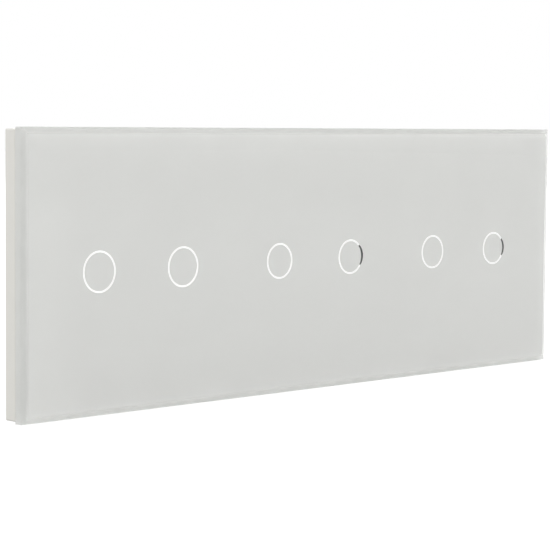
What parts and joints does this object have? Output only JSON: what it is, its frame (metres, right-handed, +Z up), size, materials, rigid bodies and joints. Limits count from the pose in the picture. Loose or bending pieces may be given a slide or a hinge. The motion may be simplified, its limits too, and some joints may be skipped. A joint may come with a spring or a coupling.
{
  "type": "touch light switch",
  "caption": "Wide glass touch switch for flush wall boxes: panel on a clip-on carrier in front of relay modules with brackets and screw terminals.",
  "frame": {"origin": "centre of the middle bracket's box-screw pattern, on the wall's face", "axes": "+X to the right as seen from the front, +Y into the wall, +Z up; the glass faces -Y"},
  "size_m": [0.23, 0.031, 0.08],
  "materials": {
    "panel_glass": "polished, edges ground round",
    "white_enamel": "printed pale grey-white",
    "adhesive": "matte",
    "carrier_plastic": "moulded, fine texture",
    "galvanised_steel": "galvanised",
    "case_plastic": "moulded",
    "housing_plastic": "moulded, spark texture",
    "guide_plastic": "milky, polished",
    "foam": "foam",
    "spring_steel": "tinned wire",
    "light_plastic": "clear resin",
    "circuit_board": "solder resist",
    "chip_plastic": "moulded",
    "screw_steel": "zinc plated",
    "cage_steel": "nickel plated",
    "contact_brass": "tinned or bare",
    "relay_plastic": "moulded",
    "copper_wire": "enamelled winding",
    "soft_iron": "nickel plated",
    "capacitor_sleeve": "shrunk sleeve",
    "ferrite": "sintered, taped",
    "fuse_plastic": "moulded",
    "varistor_coating": "dipped"
  },
  "bodies": {
    "root": {"capacitors": "capacitor_sleeve", "fuses": "fuse_plastic", "housing_screws": "screw_steel", "left_bracket": "galvanised_steel", "left_front_case": "case_plastic", "left_rear_housing": "housing_plastic", "left_relay_board": "circuit_board", "left_sensor_board": "circuit_board", "light_gaskets": "foam", "light_guides": "guide_plastic", "middle_bracket": "galvanised_steel", "middle_front_case": "case_plastic", "middle_rear_housing": "housing_plastic", "middle_relay_board": "circuit_board", "middle_sensor_board": "circuit_board", "pin_headers": "chip_plastic", "relay_bases": "relay_plastic", "relay_coils": "copper_wire", "relay_contacts": "contact_brass", "relay_covers": "relay_plastic", "relay_yokes": "soft_iron", "right_bracket": "galvanised_steel", "right_front_case": "case_plastic", "right_rear_housing": "housing_plastic", "right_relay_board": "circuit_board", "right_sensor_board": "circuit_board", "status_lights": "light_plastic", "terminal_bars": "contact_brass", "touch_chips": "chip_plastic", "touch_springs": "spring_steel", "transformers": "ferrite", "varistors": "varistor_coating"},
    "panel": {"glass_panel": "panel_glass", "printed_backing": "white_enamel", "adhesive_sheet": "adhesive", "carrier_frame": "carrier_plastic"},
    "left_relay_1_armature": {"left_relay_1_armature": "soft_iron"},
    "left_relay_2_armature": {"left_relay_2_armature": "soft_iron"},
    "left_line_screw": {"left_line_screw": "screw_steel"},
    "left_line_cage": {"left_line_cage": "cage_steel"},
    "left_load_1_screw": {"left_load_1_screw": "screw_steel"},
    "left_load_1_cage": {"left_load_1_cage": "cage_steel"},
    "left_load_2_screw": {"left_load_2_screw": "screw_steel"},
    "left_load_2_cage": {"left_load_2_cage": "cage_steel"},
    "middle_relay_1_armature": {"middle_relay_1_armature": "soft_iron"},
    "middle_relay_2_armature": {"middle_relay_2_armature": "soft_iron"},
    "middle_line_screw": {"middle_line_screw": "screw_steel"},
    "middle_line_cage": {"middle_line_cage": "cage_steel"},
    "middle_load_1_screw": {"middle_load_1_screw": "screw_steel"},
    "middle_load_1_cage": {"middle_load_1_cage": "cage_steel"},
    "middle_load_2_screw": {"middle_load_2_screw": "screw_steel"},
    "middle_load_2_cage": {"middle_load_2_cage": "cage_steel"},
    "right_relay_1_armature": {"right_relay_1_armature": "soft_iron"},
    "right_relay_2_armature": {"right_relay_2_armature": "soft_iron"},
    "right_line_screw": {"right_line_screw": "screw_steel"},
    "right_line_cage": {"right_line_cage": "cage_steel"},
    "right_load_1_screw": {"right_load_1_screw": "screw_steel"},
    "right_load_1_cage": {"right_load_1_cage": "cage_steel"},
    "right_load_2_screw": {"right_load_2_screw": "screw_steel"},
    "right_load_2_cage": {"right_load_2_cage": "cage_steel"}
  },
  "joints": [
    {"name": "panel_release", "type": "slide", "parent": "root", "child": "panel", "axis": [0, -1, 0], "range_m": [0, 0.03]},
    {"name": "left_relay_1_swing", "type": "hinge", "parent": "root", "child": "left_relay_1_armature", "pos_m": [-0.077, 0.0162, 0.0013], "axis": [1, 0, 0], "range_deg": [0, 4], "stiffness_Nm_per_rad": 0.007, "springref_deg": -6.88},
    {"name": "left_relay_2_swing", "type": "hinge", "parent": "root", "child": "left_relay_2_armature", "pos_m": [-0.065, 0.0162, 0.0013], "axis": [1, 0, 0], "range_deg": [0, 4], "stiffness_Nm_per_rad": 0.007, "springref_deg": -6.88},
    {"name": "left_line_screw_turn", "type": "hinge", "parent": "root", "child": "left_line_screw", "pos_m": [-0.082, 0.0189, -0.018], "axis": [0, -1, 0], "range_deg": [0, 2448]},
    {"name": "left_line_cage_rise", "type": "slide", "parent": "root", "child": "left_line_cage", "axis": [0, 1, 0], "range_m": [0, 0.0034]},
    {"name": "left_load_1_screw_turn", "type": "hinge", "parent": "root", "child": "left_load_1_screw", "pos_m": [-0.071, 0.0189, -0.018], "axis": [0, -1, 0], "range_deg": [0, 2448]},
    {"name": "left_load_1_cage_rise", "type": "slide", "parent": "root", "child": "left_load_1_cage", "axis": [0, 1, 0], "range_m": [0, 0.0034]},
    {"name": "left_load_2_screw_turn", "type": "hinge", "parent": "root", "child": "left_load_2_screw", "pos_m": [-0.06, 0.0189, -0.018], "axis": [0, -1, 0], "range_deg": [0, 2448]},
    {"name": "left_load_2_cage_rise", "type": "slide", "parent": "root", "child": "left_load_2_cage", "axis": [0, 1, 0], "range_m": [0, 0.0034]},
    {"name": "middle_relay_1_swing", "type": "hinge", "parent": "root", "child": "middle_relay_1_armature", "pos_m": [-0.006, 0.0162, 0.0013], "axis": [1, 0, 0], "range_deg": [0, 4], "stiffness_Nm_per_rad": 0.007, "springref_deg": -6.88},
    {"name": "middle_relay_2_swing", "type": "hinge", "parent": "root", "child": "middle_relay_2_armature", "pos_m": [0.006, 0.0162, 0.0013], "axis": [1, 0, 0], "range_deg": [0, 4], "stiffness_Nm_per_rad": 0.007, "springref_deg": -6.88},
    {"name": "middle_line_screw_turn", "type": "hinge", "parent": "root", "child": "middle_line_screw", "pos_m": [-0.011, 0.0189, -0.018], "axis": [0, -1, 0], "range_deg": [0, 2448]},
    {"name": "middle_line_cage_rise", "type": "slide", "parent": "root", "child": "middle_line_cage", "axis": [0, 1, 0], "range_m": [0, 0.0034]},
    {"name": "middle_load_1_screw_turn", "type": "hinge", "parent": "root", "child": "middle_load_1_screw", "pos_m": [0, 0.0189, -0.018], "axis": [0, -1, 0], "range_deg": [0, 2448]},
    {"name": "middle_load_1_cage_rise", "type": "slide", "parent": "root", "child": "middle_load_1_cage", "axis": [0, 1, 0], "range_m": [0, 0.0034]},
    {"name": "middle_load_2_screw_turn", "type": "hinge", "parent": "root", "child": "middle_load_2_screw", "pos_m": [0.011, 0.0189, -0.018], "axis": [0, -1, 0], "range_deg": [0, 2448]},
    {"name": "middle_load_2_cage_rise", "type": "slide", "parent": "root", "child": "middle_load_2_cage", "axis": [0, 1, 0], "range_m": [0, 0.0034]},
    {"name": "right_relay_1_swing", "type": "hinge", "parent": "root", "child": "right_relay_1_armature", "pos_m": [0.065, 0.0162, 0.0013], "axis": [1, 0, 0], "range_deg": [0, 4], "stiffness_Nm_per_rad": 0.007, "springref_deg": -6.88},
    {"name": "right_relay_2_swing", "type": "hinge", "parent": "root", "child": "right_relay_2_armature", "pos_m": [0.077, 0.0162, 0.0013], "axis": [1, 0, 0], "range_deg": [0, 4], "stiffness_Nm_per_rad": 0.007, "springref_deg": -6.88},
    {"name": "right_line_screw_turn", "type": "hinge", "parent": "root", "child": "right_line_screw", "pos_m": [0.06, 0.0189, -0.018], "axis": [0, -1, 0], "range_deg": [0, 2448]},
    {"name": "right_line_cage_rise", "type": "slide", "parent": "root", "child": "right_line_cage", "axis": [0, 1, 0], "range_m": [0, 0.0034]},
    {"name": "right_load_1_screw_turn", "type": "hinge", "parent": "root", "child": "right_load_1_screw", "pos_m": [0.071, 0.0189, -0.018], "axis": [0, -1, 0], "range_deg": [0, 2448]},
    {"name": "right_load_1_cage_rise", "type": "slide", "parent": "root", "child": "right_load_1_cage", "axis": [0, 1, 0], "range_m": [0, 0.0034]},
    {"name": "right_load_2_screw_turn", "type": "hinge", "parent": "root", "child": "right_load_2_screw", "pos_m": [0.082, 0.0189, -0.018], "axis": [0, -1, 0], "range_deg": [0, 2448]},
    {"name": "right_load_2_cage_rise", "type": "slide", "parent": "root", "child": "right_load_2_cage", "axis": [0, 1, 0], "range_m": [0, 0.0034]}
  ],
  "couplings": [
    {"joint": "left_line_screw_turn", "follows": "left_line_cage_rise", "rad_per_m": 12566},
    {"joint": "left_load_1_screw_turn", "follows": "left_load_1_cage_rise", "rad_per_m": 12566},
    {"joint": "left_load_2_screw_turn", "follows": "left_load_2_cage_rise", "rad_per_m": 12566},
    {"joint": "middle_line_screw_turn", "follows": "middle_line_cage_rise", "rad_per_m": 12566},
    {"joint": "middle_load_1_screw_turn", "follows": "middle_load_1_cage_rise", "rad_per_m": 12566},
    {"joint": "middle_load_2_screw_turn", "follows": "middle_load_2_cage_rise", "rad_per_m": 12566},
    {"joint": "right_line_screw_turn", "follows": "right_line_cage_rise", "rad_per_m": 12566},
    {"joint": "right_load_1_screw_turn", "follows": "right_load_1_cage_rise", "rad_per_m": 12566},
    {"joint": "right_load_2_screw_turn", "follows": "right_load_2_cage_rise", "rad_per_m": 12566}
  ]
}
